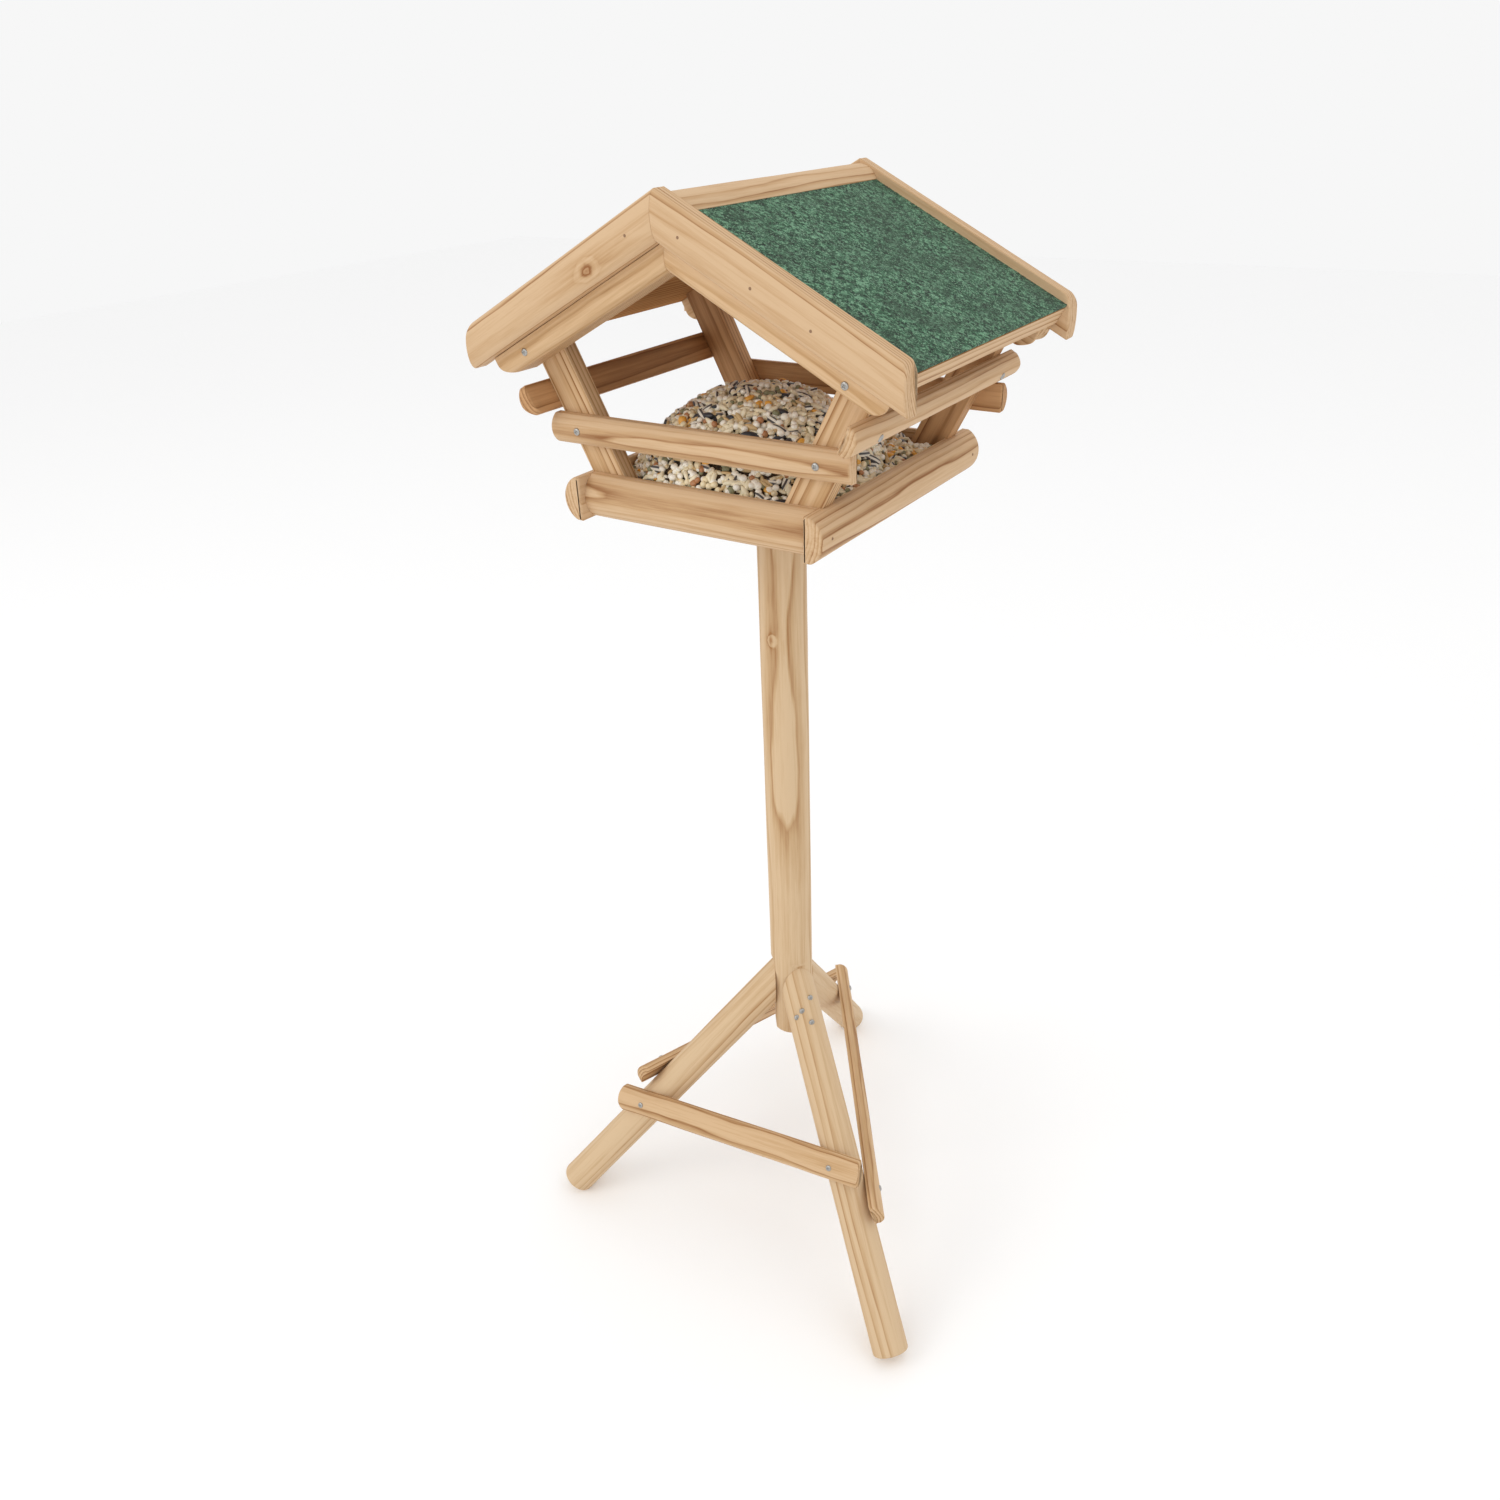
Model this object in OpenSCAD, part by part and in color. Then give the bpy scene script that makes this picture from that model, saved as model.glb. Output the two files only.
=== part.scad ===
// Bird feeder on a pole: a gabled timber bird table on a round pole with three splayed legs.
// Millimetres, +Z up. X runs across the gables and Y along the ridge. The origin is on the
// ground, straight below the pole. The front gable faces -Y.

/* [Roof] */
// Height of the gable apex above the ground
apex_z = 1262; // [1150:1:1400]
// Pitch of both roof slopes, in degrees
pitch = 27.3; // [22:0.1:32]
// Half of the roof's width, out to the plumb-cut barge ends
roof_half_w = 225; // [215:1:250]
// Half of the roof's length, out to the outer faces of the barge boards
roof_half_l = 180; // [176:1:200]
// Height of the wood above the roof surface at the barge boards
upstand = 7.5; // [5:0.5:12]
// Thickness of the roofing felt
felt_t = 2.5; // [1:0.5:3]
// Thickness of the roof panels
panel_t = 18; // [12:1:20]
// Width of a barge board across its face
barge_w = 35; // [30:1:45]
// Thickness of a barge board
barge_t = 22; // [18:1:24]
// Half of the ridge batten's width
ridge_half_w = 20; // [16:1:26]

/* [House] */
// Distance from the middle to the outer faces of the posts, along the ridge
post_face_y = 133; // [120:1:138]
// Width of a post
post_w = 34; // [28:1:40]
// Thickness of a post
post_t = 18; // [14:1:24]
// Distance from the middle to a post's centre line, at the floor
post_x = 98; // [85:1:104]
// Width of the rails and the rafters
rail_w = 28; // [22:1:32]
// Thickness of the rails
rail_t = 15; // [12:1:18]
// Thickness of the rafters
rafter_t = 32; // [27:1:34]
// Length of a rafter, measured down the slope from the apex
rafter_l = 250; // [225:1:252]
// Height of the middle of the front and back rails
end_rail_z = 1053; // [1042:1:1053]
// Height of the middle of the side rails
side_rail_z = 1083; // [1083:1:1088]
// Distance from the middle to the ends of the front rail
front_rail_reach = 161; // [150:1:175]
// Distance from the middle to the right end of the back rail
back_rail_right = 174; // [150:1:180]
// Distance from the middle to the left end of the back rail, just past the post
back_rail_left = 140; // [140:1:180]
// Half of the length of the side rails
side_rail_half_l = 168; // [158:1:178]

/* [Tray] */
// Half of the tray's width, out to the outer faces of its side borders
tray_half_w = 143; // [136:1:155]
// Half of the length of the side borders
tray_half_l = 160; // [156:1:168]
// Height of the bottom of the tray's borders above the ground
tray_z = 971; // [960:1:980]
// Height of a tray border
border_h = 42; // [36:1:46]
// Thickness of a tray border
border_t = 20; // [16:1:22]
// Thickness of the tray's floor
floor_t = 10; // [6:1:12]
// Thickness of the battens and the pole plate below the floor
batten_t = 12; // [10:1:12]
// Height of the seed above the floor at the borders
seed_depth = 14; // [8:1:18]
// Height of the heap of seed above that level
heap_h = 71; // [40:1:72]
// Radius of the foot of the heap
heap_r = 124; // [100:1:128]
// How far the heap's middle lies to the left of the pole
heap_left = 15; // [0:1:20]
// How far the heap's middle lies in front of the pole
heap_forward = 9; // [0:1:20]

/* [Pole and legs] */
// Diameter of the pole
pole_d = 52; // [46:1:60]
// Height of the pole's lower end above the ground
pole_foot_z = 272; // [240:1:290]
// Diameter of a leg
leg_d = 44; // [36:1:50]
// Distance from the pole's axis to the middle of a leg's lower end
foot_r = 306; // [280:1:330]
// Height at which a leg's centre line meets the face of the pole
leg_joint_z = 342; // [330:1:360]
// Directions of the left, right and back legs, in degrees from +X
leg_azimuths = [217, 323, 105]; // [0:1:360]
// Height of a brace's lower end, at its middle
brace_low_z = 150; // [130:1:170]
// Height of a brace's upper end, at its middle
brace_high_z = 182; // [175:1:220]
// Width of a brace
brace_w = 34; // [26:1:38]
// Length of brace that runs on past each leg's centre line
brace_overhang = 38; // [26:1:45]

/* [Hidden] */
$fn = 72;

timber = "#dcc096";
timber_light = "#e4cba4";
timber_dark = "#cda97b";
felt_green = "#3f6854";
zinc = "#b9bdc0";
seed_tan = "#b9a27c";

// Depths below the top edge of the barge boards, square to the slope
felt_depth = upstand;
panel_depth = felt_depth + felt_t;
rafter_depth = panel_depth + panel_t;
eave_l = (roof_half_w - 4) / cos(pitch) + panel_depth * tan(pitch);
barge_y = roof_half_l - barge_t;

floor_z = tray_z + batten_t;
floor_top_z = floor_z + floor_t;
border_top_z = tray_z + border_h;
border_flat_x = tray_half_w - border_t;
border_crown = 13;
// The posts stand square to the slope of the roof and reach the underside of the panels
post_l = (apex_z - floor_top_z) * cos(pitch) - post_x * sin(pitch) - rafter_depth;
post_foot = post_w / 2 * tan(pitch) + 1;
barge_crown = 5;
rafter_screw_w = (rail_w + barge_w - rafter_depth) / 2;
rail_crown = 8;

batten_w = 34;
plate_half_w = 58;
heap_side_slope = 1.6;
top_screw_slant = 25;
pole_r = pole_d / 2;
pole_flat = 22;
leg_r = leg_d / 2;
foot_z = 10;
leg_run = foot_r - pole_flat;
leg_drop = leg_joint_z - foot_z;
leg_tilt = atan(leg_drop / leg_run);
leg_l = norm([leg_run, leg_drop]);
brace_gap = 0.2;

screw_head_d = 7;
screw_head_h = 2.2;
screw_d = 3.6;
lag_head_d = 16;
lag_d = 8;
nail_head_d = 3;
nail_d = 1.8;
play = 0.2;
far = 2000;

// ---- Fixings. Each stands on its local origin, with its head towards +Z ----

module screw(l, sunk = 1) {
  translate([0, 0, -l]) cylinder(h = l - sunk + 0.5, d = screw_d);
  translate([0, 0, -sunk]) intersection() {
    cylinder(h = screw_head_h, d = screw_head_d);
    translate([0, 0, screw_head_h - 4.4]) sphere(r = 4.4);
  }
}

module screw_hole(l, sunk = 1) {
  translate([0, 0, -l - play]) cylinder(h = l, d = screw_d + 2 * play);
  translate([0, 0, -sunk - play]) cylinder(h = 12, d = screw_head_d + 2 * play);
}

module nail(l) {
  translate([0, 0, -l]) cylinder(h = l, d = nail_d);
  translate([0, 0, -0.6]) cylinder(h = 0.9, d = nail_head_d);
}

module nail_hole(l) {
  translate([0, 0, -l - play]) cylinder(h = l, d = nail_d + 2 * play);
  translate([0, 0, -0.6 - play]) cylinder(h = 12, d = nail_head_d + 2 * play);
}

module lag_screw_hole() {
  translate([0, 0, -96 - play]) cylinder(h = 96, d = lag_d + 2 * play);
  translate([0, 0, -5 - play]) cylinder(h = 12, d = lag_head_d + 2 * play);
}

// ---- Stock. The flat back lies in the plane y = 0 and the crowned face looks to -Y ----

module crowned_profile(w, t, crown) {
  r = (w * w / 4 + crown * crown) / (2 * crown);
  translate([crown - t, -w]) square([t - crown, w]);
  intersection() {
    translate([r - t, -w / 2]) circle(r);
    translate([-t, -w]) square([crown + 0.5, w]);
  }
}

// A rafter's profile: a rebate in which the barge board sits, and a rounded lower corner
module rafter_profile() {
  r = 8;
  seat_t = barge_y - post_face_y;
  seat_w = barge_w - rafter_depth;
  difference() {
    union() {
      translate([r - rafter_t, -rail_w]) square([rafter_t - r, rail_w]);
      translate([-rafter_t, r - rail_w]) square([rafter_t, rail_w - r]);
      translate([r - rafter_t, r - rail_w]) circle(r);
    }
    translate([-rafter_t - 1, -seat_w]) square([rafter_t - seat_t + 1, seat_w + 1]);
  }
}

// A stick along +X, with its width from z = -w to z = 0
module stick(l, w, t, crown) {
  rotate([90, 0, 90]) linear_extrude(l) crowned_profile(w, t, crown);
}

// ---- Placing ----

module mirror_if(flag, axis) {
  if (flag) mirror(axis) children();
  else children();
}

// Right slope: +X runs down the slope from the apex, +Z stands square to the slope
module on_slope() {
  translate([0, 0, apex_z]) rotate([0, pitch, 0]) children();
}

// A post's own frame: +Z runs up the post and +X is square to its outer side
module on_post() {
  translate([post_x, 0, floor_top_z]) rotate([0, pitch, 0]) children();
}

// What lies between two upright planes square to X
module between_x(x0, x1) {
  intersection() {
    children();
    translate([x0, -far / 2, 0]) cube([x1 - x0, far, far]);
  }
}

// Leg frame: the origin is where the centre line meets the pole, +X runs down the leg,
// and +Z is square to the leg's upper side
module on_leg(azimuth) {
  rotate(azimuth) translate([pole_flat, 0, leg_joint_z]) rotate([0, leg_tilt, 0]) children();
}

// A point on a leg's centre line at height z
function leg_point(azimuth, z) =
  let (r = pole_flat + (leg_joint_z - z) / tan(leg_tilt))
  [r * cos(azimuth), r * sin(azimuth), z];

function leg_way(azimuth) =
  [cos(azimuth) * cos(leg_tilt), sin(azimuth) * cos(leg_tilt), -sin(leg_tilt)];

// Brace frame, from the lower end on leg a to the upper end on leg b, which is the next leg
// anticlockwise: +X runs along the brace, and -Y looks outwards, square to both legs
module on_brace(a, b) {
  p = leg_point(a, brace_low_z);
  q = leg_point(b, brace_high_z);
  x = (q - p) / norm(q - p);
  out = cross(leg_way(a), leg_way(b));
  y = -out / norm(out);
  z = cross(x, y);
  multmatrix([[x.x, y.x, z.x, p.x], [x.y, y.y, z.y, p.y], [x.z, y.z, z.z, p.z]])
    translate([0, -leg_r - brace_gap, 0]) children();
}

function brace_span(a, b) = norm(leg_point(b, brace_high_z) - leg_point(a, brace_low_z));

// ---- Where the fixings go ----

module at_barge_nails(back, left) {
  mirror_if(left, [1, 0, 0]) mirror_if(back, [0, 1, 0]) on_slope()
    for (u = left ? [39] : [39, 113, 173])
      translate([u, -roof_half_l, -felt_depth - 11]) rotate([90, 0, 0]) children();
}

module at_ridge_nails() {
  for (y = [-130, -45, 45, 130])
    mirror_if(y * y < 9000, [1, 0, 0]) on_slope() translate([12, y, -3.2]) children();
}

module at_rafter_screws(back, left) {
  mirror_if(left, [1, 0, 0]) mirror_if(back, [0, 1, 0]) on_post()
    translate([0, -post_face_y - rafter_t, post_l - rafter_screw_w]) rotate([90, 0, 0]) children();
}

module at_end_rail_screws(back, left) {
  mirror_if(left, [1, 0, 0]) mirror_if(back, [0, 1, 0])
    translate([post_x + (end_rail_z - floor_top_z) * tan(pitch), -post_face_y - rail_t, end_rail_z])
      rotate([90, 0, 0]) children();
}

module at_side_rail_screws(back, left) {
  mirror_if(left, [1, 0, 0]) mirror_if(back, [0, 1, 0]) on_side_rail()
    translate([rail_t, -post_face_y + post_t / 2, 0]) rotate([0, 90, 0]) children();
}

module at_border_nails(back, left) {
  mirror_if(left, [1, 0, 0]) mirror_if(back, [0, 1, 0])
    translate([tray_half_w, -post_face_y - border_t / 2, tray_z + border_h / 2])
      rotate([0, 90, 0]) children();
}

module at_floor_screws() {
  for (x = [-60, 60], y = [-post_face_y + batten_w / 2, post_face_y - batten_w / 2])
    translate([x, y, floor_top_z]) children();
  for (x = [-44, 44], y = [-44, 44]) translate([x, y, floor_top_z]) children();
}

module at_pole_screw() {
  translate([0, 0, floor_top_z]) children();
}

// Four screws hold the right leg: [distance down the leg, distance to one side, length]
leg_screw_places = [[13, 6, 40], [26, -8, 48], [32, -15, 49], [42, 0, 60]];

module at_top_screws() {
  on_leg(leg_azimuths[1]) for (p = leg_screw_places) {
    $screw_l = p[2];
    translate([p[0], p[1], sqrt(leg_r * leg_r - p[1] * p[1])])
      rotate([0, top_screw_slant, 0]) children();
  }
}

// The left and back legs are each held by two screws let in from one side:
// [height, distance from the middle of the pole]
side_screw_places = [[344, 29], [328, 35]];

module at_side_screws(i) {
  slant = i == 0 ? -35 : 35;
  rotate(leg_azimuths[i]) for (p = side_screw_places) {
    $screw_l = p[1] - 2;
    translate([12, 0, p[0]]) rotate(slant) rotate([0, 90, 0]) translate([0, 0, p[1]]) children();
  }
}

module at_leg_screws(i) {
  if (i == 1) at_top_screws() children();
  else at_side_screws(i) children();
}

module at_brace_screws(a, b) {
  on_brace(a, b) for (u = [0, brace_span(a, b)])
    translate([u, -rail_t, 0]) rotate([90, 0, 0]) children();
}

// ---- Roof ----

module slope_sheet(depth, t) {
  between_x(0, roof_half_w) on_slope()
    translate([-20, -barge_y, -depth - t]) cube([20 + eave_l, 2 * barge_y, t]);
}

module felt(left) {
  color(felt_green) mirror_if(left, [1, 0, 0]) difference() {
    slope_sheet(felt_depth, felt_t);
    at_ridge_nails() nail_hole(22);
  }
}

module roof_panel(left) {
  color(timber_dark) difference() {
    mirror_if(left, [1, 0, 0]) slope_sheet(panel_depth, panel_t);
    at_barge_nails(false, left) nail_hole(40);
    at_barge_nails(true, left) nail_hole(40);
    at_ridge_nails() nail_hole(22);
  }
}

// The batten lies over the ridge: an arc above, and a V below that sits on the felt
module ridge_batten() {
  felt_apex = apex_z - felt_depth / cos(pitch);
  foot = felt_apex - ridge_half_w * tan(pitch);
  rise = apex_z - 4 - foot;
  r = (ridge_half_w * ridge_half_w + rise * rise) / (2 * rise);
  color(timber_light) difference() {
    rotate([90, 0, 0]) linear_extrude(2 * barge_y, center = true) difference() {
      translate([0, foot + rise - r]) circle(r);
      polygon([
        [0, felt_apex], [60, felt_apex - 60 * tan(pitch)],
        [60, foot - 80], [-60, foot - 80], [-60, felt_apex - 60 * tan(pitch)]
      ]);
    }
    at_ridge_nails() nail_hole(22);
  }
}

module barge(back, left) {
  color(timber) difference() {
    mirror_if(left, [1, 0, 0]) mirror_if(back, [0, 1, 0]) between_x(0, roof_half_w) on_slope()
      translate([-20, -barge_y, 0]) stick(roof_half_w + 80, barge_w, barge_t, barge_crown);
    at_barge_nails(back, left) nail_hole(40);
  }
}

module rafter(back, left) {
  color(timber_light) difference() {
    mirror_if(left, [1, 0, 0]) mirror_if(back, [0, 1, 0]) between_x(0, roof_half_w) on_slope()
      translate([-30, -post_face_y, -rafter_depth])
        rotate([90, 0, 90]) linear_extrude(30 + rafter_l) rafter_profile();
    at_rafter_screws(back, left) screw_hole(46);
  }
}

// ---- House ----

module post(back, left) {
  color(timber_dark) difference() {
    mirror_if(left, [1, 0, 0]) mirror_if(back, [0, 1, 0]) intersection() {
      on_post() translate([-post_w / 2, -post_face_y, -post_foot])
        cube([post_w, post_t, post_l + post_foot]);
      translate([0, -far / 2, floor_top_z]) cube([far, far, far]);
    }
    at_rafter_screws(back, left) screw_hole(46);
    at_end_rail_screws(back, left) screw_hole(26);
    at_side_rail_screws(back, left) screw_hole(30);
  }
}

module end_rail(back, left_end, right_end) {
  color(timber_light) difference() {
    mirror_if(back, [0, 1, 0]) translate([-left_end, -post_face_y, end_rail_z + rail_w / 2])
      stick(left_end + right_end, rail_w, rail_t, rail_crown);
    for (left = [false, true]) at_end_rail_screws(back, left) screw_hole(26);
  }
}

// Frame of the right side rail: x = 0 is the outer side of the posts, and z = 0 its middle
module on_side_rail() {
  up = (side_rail_z - floor_top_z + post_w / 2 * sin(pitch)) / cos(pitch);
  on_post() translate([post_w / 2, 0, up]) children();
}

module side_rail(left) {
  color(timber_light) difference() {
    mirror_if(left, [1, 0, 0]) on_side_rail()
      translate([0, -side_rail_half_l, rail_w / 2]) rotate(90)
        stick(2 * side_rail_half_l, rail_w, rail_t, rail_crown);
    for (back = [false, true]) at_side_rail_screws(back, left) screw_hole(30);
  }
}

// ---- Tray ----

module floor_board() {
  color(timber_dark) difference() {
    translate([-border_flat_x, -post_face_y, floor_z])
      cube([2 * border_flat_x, 2 * post_face_y, floor_t]);
    at_floor_screws() screw_hole(floor_t + batten_t - 2, 2.6);
    at_pole_screw() lag_screw_hole();
  }
}

module end_border(back) {
  color(timber_light) difference() {
    mirror_if(back, [0, 1, 0]) translate([-border_flat_x, -post_face_y, border_top_z])
      stick(2 * border_flat_x, border_h, border_t, border_crown);
    for (left = [false, true]) at_border_nails(back, left) nail_hole(40);
  }
}

module side_border(left) {
  color(timber) difference() {
    mirror_if(left, [1, 0, 0]) translate([border_flat_x, -tray_half_l, border_top_z])
      rotate(90) stick(2 * tray_half_l, border_h, border_t, border_crown);
    for (back = [false, true]) at_border_nails(back, left) nail_hole(40);
  }
}

// The heap falls off steeply at the side borders: its outline across the tray
module heap_outline(level) {
  foot = level + 2;
  polygon([
    [-border_flat_x, level - 1], [border_flat_x, level - 1], [border_flat_x, foot],
    [border_flat_x - heap_h, foot + heap_side_slope * heap_h],
    [heap_h - border_flat_x, foot + heap_side_slope * heap_h], [-border_flat_x, foot]
  ]);
}

// A level layer of seed with a rounded heap on it, around the feet of the posts
module seed_mix() {
  level = floor_top_z + seed_depth;
  ball_r = (heap_r * heap_r + heap_h * heap_h) / (2 * heap_h);
  color(seed_tan) difference() {
    union() {
      translate([-border_flat_x, -post_face_y, floor_top_z])
        cube([2 * border_flat_x, 2 * post_face_y, seed_depth]);
      intersection() {
        translate([-heap_left, -heap_forward, level + heap_h - ball_r])
          sphere(r = ball_r, $fn = 96);
        rotate([90, 0, 0]) linear_extrude(height = 2 * post_face_y, center = true)
          heap_outline(level);
      }
    }
    for (back = [false, true], left = [false, true])
      mirror_if(left, [1, 0, 0]) mirror_if(back, [0, 1, 0])
        on_post() translate([-post_w / 2, -post_face_y - 1, -post_foot])
          cube([post_w, post_t + 1, post_l]);
  }
}

module floor_batten(back) {
  color(timber_dark) difference() {
    mirror_if(back, [0, 1, 0]) translate([-border_flat_x, -post_face_y, tray_z])
      cube([2 * border_flat_x, batten_w, batten_t]);
    at_floor_screws() screw_hole(floor_t + batten_t - 2, 2.6);
  }
}

module pole_plate() {
  color(timber_dark) difference() {
    translate([-plate_half_w, -plate_half_w, tray_z])
      cube([2 * plate_half_w, 2 * plate_half_w, batten_t]);
    at_floor_screws() screw_hole(floor_t + batten_t - 2, 2.6);
    at_pole_screw() lag_screw_hole();
  }
}

// ---- Pole and legs ----

module pole() {
  color(timber) difference() {
    translate([0, 0, pole_foot_z]) cylinder(h = tray_z - pole_foot_z, r = pole_r);
    for (i = [0:2]) {
      rotate(leg_azimuths[i]) translate([pole_flat, -pole_r, pole_foot_z - 1])
        cube([pole_r, pole_d, leg_joint_z - pole_foot_z + leg_r / cos(leg_tilt) + 2]);
      at_leg_screws(i) screw_hole($screw_l);
    }
    at_pole_screw() lag_screw_hole();
  }
}

// Cut square at the foot, trimmed level where it stands, and cut plumb against the pole
module leg(i) {
  a = leg_azimuths[i];
  color(timber_light) difference() {
    intersection() {
      on_leg(a) translate([-leg_d * 2, 0, 0]) rotate([0, 90, 0])
        cylinder(h = leg_l + leg_d * 2, r = leg_r);
      rotate(a) translate([pole_flat, -far / 2, 0]) cube([far, far, far]);
    }
    at_leg_screws(i) screw_hole($screw_l);
    for (b = [0:2]) at_brace_screws(leg_azimuths[b], leg_azimuths[(b + 1) % 3]) screw_hole(40);
  }
}

module brace(a, b) {
  color(timber_light) difference() {
    on_brace(a, b) translate([-brace_overhang, 0, brace_w / 2])
      stick(brace_span(a, b) + 2 * brace_overhang, brace_w, rail_t, rail_crown);
    at_brace_screws(a, b) screw_hole(40);
  }
}

// ---- Fixings, as groups ----

module barge_nails() {
  color(zinc) for (back = [false, true], left = [false, true]) at_barge_nails(back, left) nail(40);
}

module ridge_nails() {
  color(zinc) at_ridge_nails() nail(22);
}

module rafter_screws() {
  color(zinc) for (back = [false, true], left = [false, true])
    at_rafter_screws(back, left) screw(46);
}

module rail_screws() {
  color(zinc) for (back = [false, true], left = [false, true]) {
    at_end_rail_screws(back, left) screw(26);
    at_side_rail_screws(back, left) screw(30);
  }
}

module border_nails() {
  color(zinc) for (back = [false, true], left = [false, true]) at_border_nails(back, left) nail(40);
}

module floor_screws() {
  color(zinc) at_floor_screws() screw(floor_t + batten_t - 2, 2.6);
}

module pole_screw() {
  color(zinc) at_pole_screw() {
    translate([0, 0, -96]) cylinder(h = 92, d = lag_d);
    translate([0, 0, -5]) cylinder(h = 4.5, d = lag_head_d);
  }
}

module leg_screws() {
  color(zinc) for (i = [0:2]) at_leg_screws(i) screw($screw_l);
}

module brace_screws() {
  color(zinc) for (b = [0:2])
    at_brace_screws(leg_azimuths[b], leg_azimuths[(b + 1) % 3]) screw(40);
}

felt(true);  // felt_left
felt(false);  // felt_right
roof_panel(true);  // roof_panel_left
roof_panel(false);  // roof_panel_right
ridge_batten();
barge(false, true);  // barge_front_left
barge(false, false);  // barge_front_right
barge(true, true);  // barge_back_left
barge(true, false);  // barge_back_right
rafter(false, true);  // rafter_front_left
rafter(false, false);  // rafter_front_right
rafter(true, true);  // rafter_back_left
rafter(true, false);  // rafter_back_right
post(false, true);  // post_front_left
post(false, false);  // post_front_right
post(true, true);  // post_back_left
post(true, false);  // post_back_right
end_rail(false, front_rail_reach, front_rail_reach);  // rail_front
end_rail(true, back_rail_left, back_rail_right);  // rail_back
side_rail(true);  // rail_left
side_rail(false);  // rail_right
floor_board();
end_border(false);  // border_front
end_border(true);  // border_back
side_border(true);  // border_left
side_border(false);  // border_right
seed_mix();
floor_batten(false);  // floor_batten_front
floor_batten(true);  // floor_batten_back
pole_plate();
pole();
leg(0);  // leg_left
leg(1);  // leg_right
leg(2);  // leg_back
brace(leg_azimuths[0], leg_azimuths[1]);  // brace_front
brace(leg_azimuths[1], leg_azimuths[2]);  // brace_right
brace(leg_azimuths[2], leg_azimuths[0]);  // brace_left
barge_nails();
ridge_nails();
rafter_screws();
rail_screws();
border_nails();
floor_screws();
pole_screw();
leg_screws();
brace_screws();
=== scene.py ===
"""The looks of a wooden bird feeder on a braced pole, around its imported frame."""

import itertools
import math

import bpy
import numpy as np
from mathutils import Matrix, Vector


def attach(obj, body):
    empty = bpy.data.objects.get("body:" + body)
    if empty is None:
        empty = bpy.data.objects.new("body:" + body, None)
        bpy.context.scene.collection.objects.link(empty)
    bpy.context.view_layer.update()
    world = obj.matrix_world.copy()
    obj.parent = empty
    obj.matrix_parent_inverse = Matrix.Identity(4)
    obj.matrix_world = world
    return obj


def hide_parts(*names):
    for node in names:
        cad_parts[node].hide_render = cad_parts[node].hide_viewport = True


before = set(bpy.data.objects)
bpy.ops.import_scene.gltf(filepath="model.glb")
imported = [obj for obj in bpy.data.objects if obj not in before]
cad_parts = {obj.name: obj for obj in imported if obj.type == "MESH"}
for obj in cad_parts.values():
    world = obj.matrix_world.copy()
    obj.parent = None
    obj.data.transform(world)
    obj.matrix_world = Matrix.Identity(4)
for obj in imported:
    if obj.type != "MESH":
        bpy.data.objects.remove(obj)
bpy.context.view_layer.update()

# Lengths are in millimetres until a mesh is made. X is right, Y is to the back and Z is up.

# Roof. A D is a depth below the roof's top plane, and a T is a thickness.
PITCH = math.radians(27.3)
SP, CP = math.sin(PITCH), math.cos(PITCH)
APEX = 1262.0
ROOF_X = 225.0
BARGE_Y, BARGE_W, BARGE_T, BARGE_CROWN = 158.0, 35.0, 22.0, 5.0
FELT_D, FELT_T = 7.5, 2.45
PANEL_D, PANEL_T = 10.0, 18.0
RAFTER_D, RAFTER_LOW, RAFTER_T, RAFTER_L = 28.0, 56.0, 32.0, 250.0
REBATE_T = 25.0
EAVE_L = (ROOF_X - 4) / CP + PANEL_D * math.tan(PITCH)
RIDGE_HALF = 20.0
RIDGE_FOOT = APEX - FELT_D / CP - RIDGE_HALF * math.tan(PITCH)

# Frame and tray
FACE_Y, FLOOR_TOP, TRAY_Z, FLOOR_T = 133.0, 993.0, 971.0, 10.0
POST_X, POST_W, POST_T = 98.0, 34.0, 18.0
POST_L = (APEX - FLOOR_TOP) * CP - POST_X * SP - RAFTER_D
RAIL_Z, RAIL_W, LATH_T, LATH_CROWN = 1053.0, 28.0, 15.0, 8.0
SIDE_RAIL_Z, SIDE_RAIL_HALF = 1083.0, 168.0
SIDE_RAIL_UP = (SIDE_RAIL_Z - FLOOR_TOP + POST_W / 2 * SP) / CP
BORDER_X, BORDER_Y, BORDER_TOP = 123.0, 160.0, 1013.0
BORDER_W, BORDER_T, BORDER_CROWN = 42.0, 20.0, 13.0
BATTEN_W, BATTEN_T = 34.0, 12.0
PLATE_HALF, PLATE_T = 58.0, 12.0

# Stand
POLE_R, POLE_FOOT_Z = 26.0, 272.0
FLAT_R, FLATS_TOP_Z = 22.0, 378.0
LEG_R, LEG_JOINT_Z = 22.0, 342.0
FOOT_R, FOOT_Z = 306.0, 10.0
LEG_TILT = math.atan((LEG_JOINT_Z - FOOT_Z) / (FOOT_R - FLAT_R))
LEG_AZ = {"left": 217.0, "right": 323.0, "back": 105.0}
BRACES = {"front": ("left", "right"), "right": ("right", "back"), "left": ("back", "left")}
BRACE_HALF, BRACE_OUT, BRACE_OVERHANG = 17.0, LEG_R + 0.2, 38.0
BRACE_LOW_Z, BRACE_HIGH_Z = 150.0, 182.0
TOP_SLANT = math.radians(25)

# Seed
HEAP_TOP, HEAP_R, HEAP_LEFT, HEAP_FORWARD = 1078.0, 143.8, 15.0, 9.0
BED_Z, HEAP_SIDE_Z, HEAP_SIDE_SLOPE = 1007.0, 1009.0, 1.6

# How finely an outline and a length of timber are divided, and where a missing knot is put
GIRTH_STEP, RING_STEP = 2.6, 7.0
FAR_AWAY = 9000.0
CORNERS = [(end, hand) for end in ("front", "back") for hand in ("left", "right")]
piece_numbers = itertools.count(1)


def vec(*a):
    return np.array(a, float)


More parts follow.
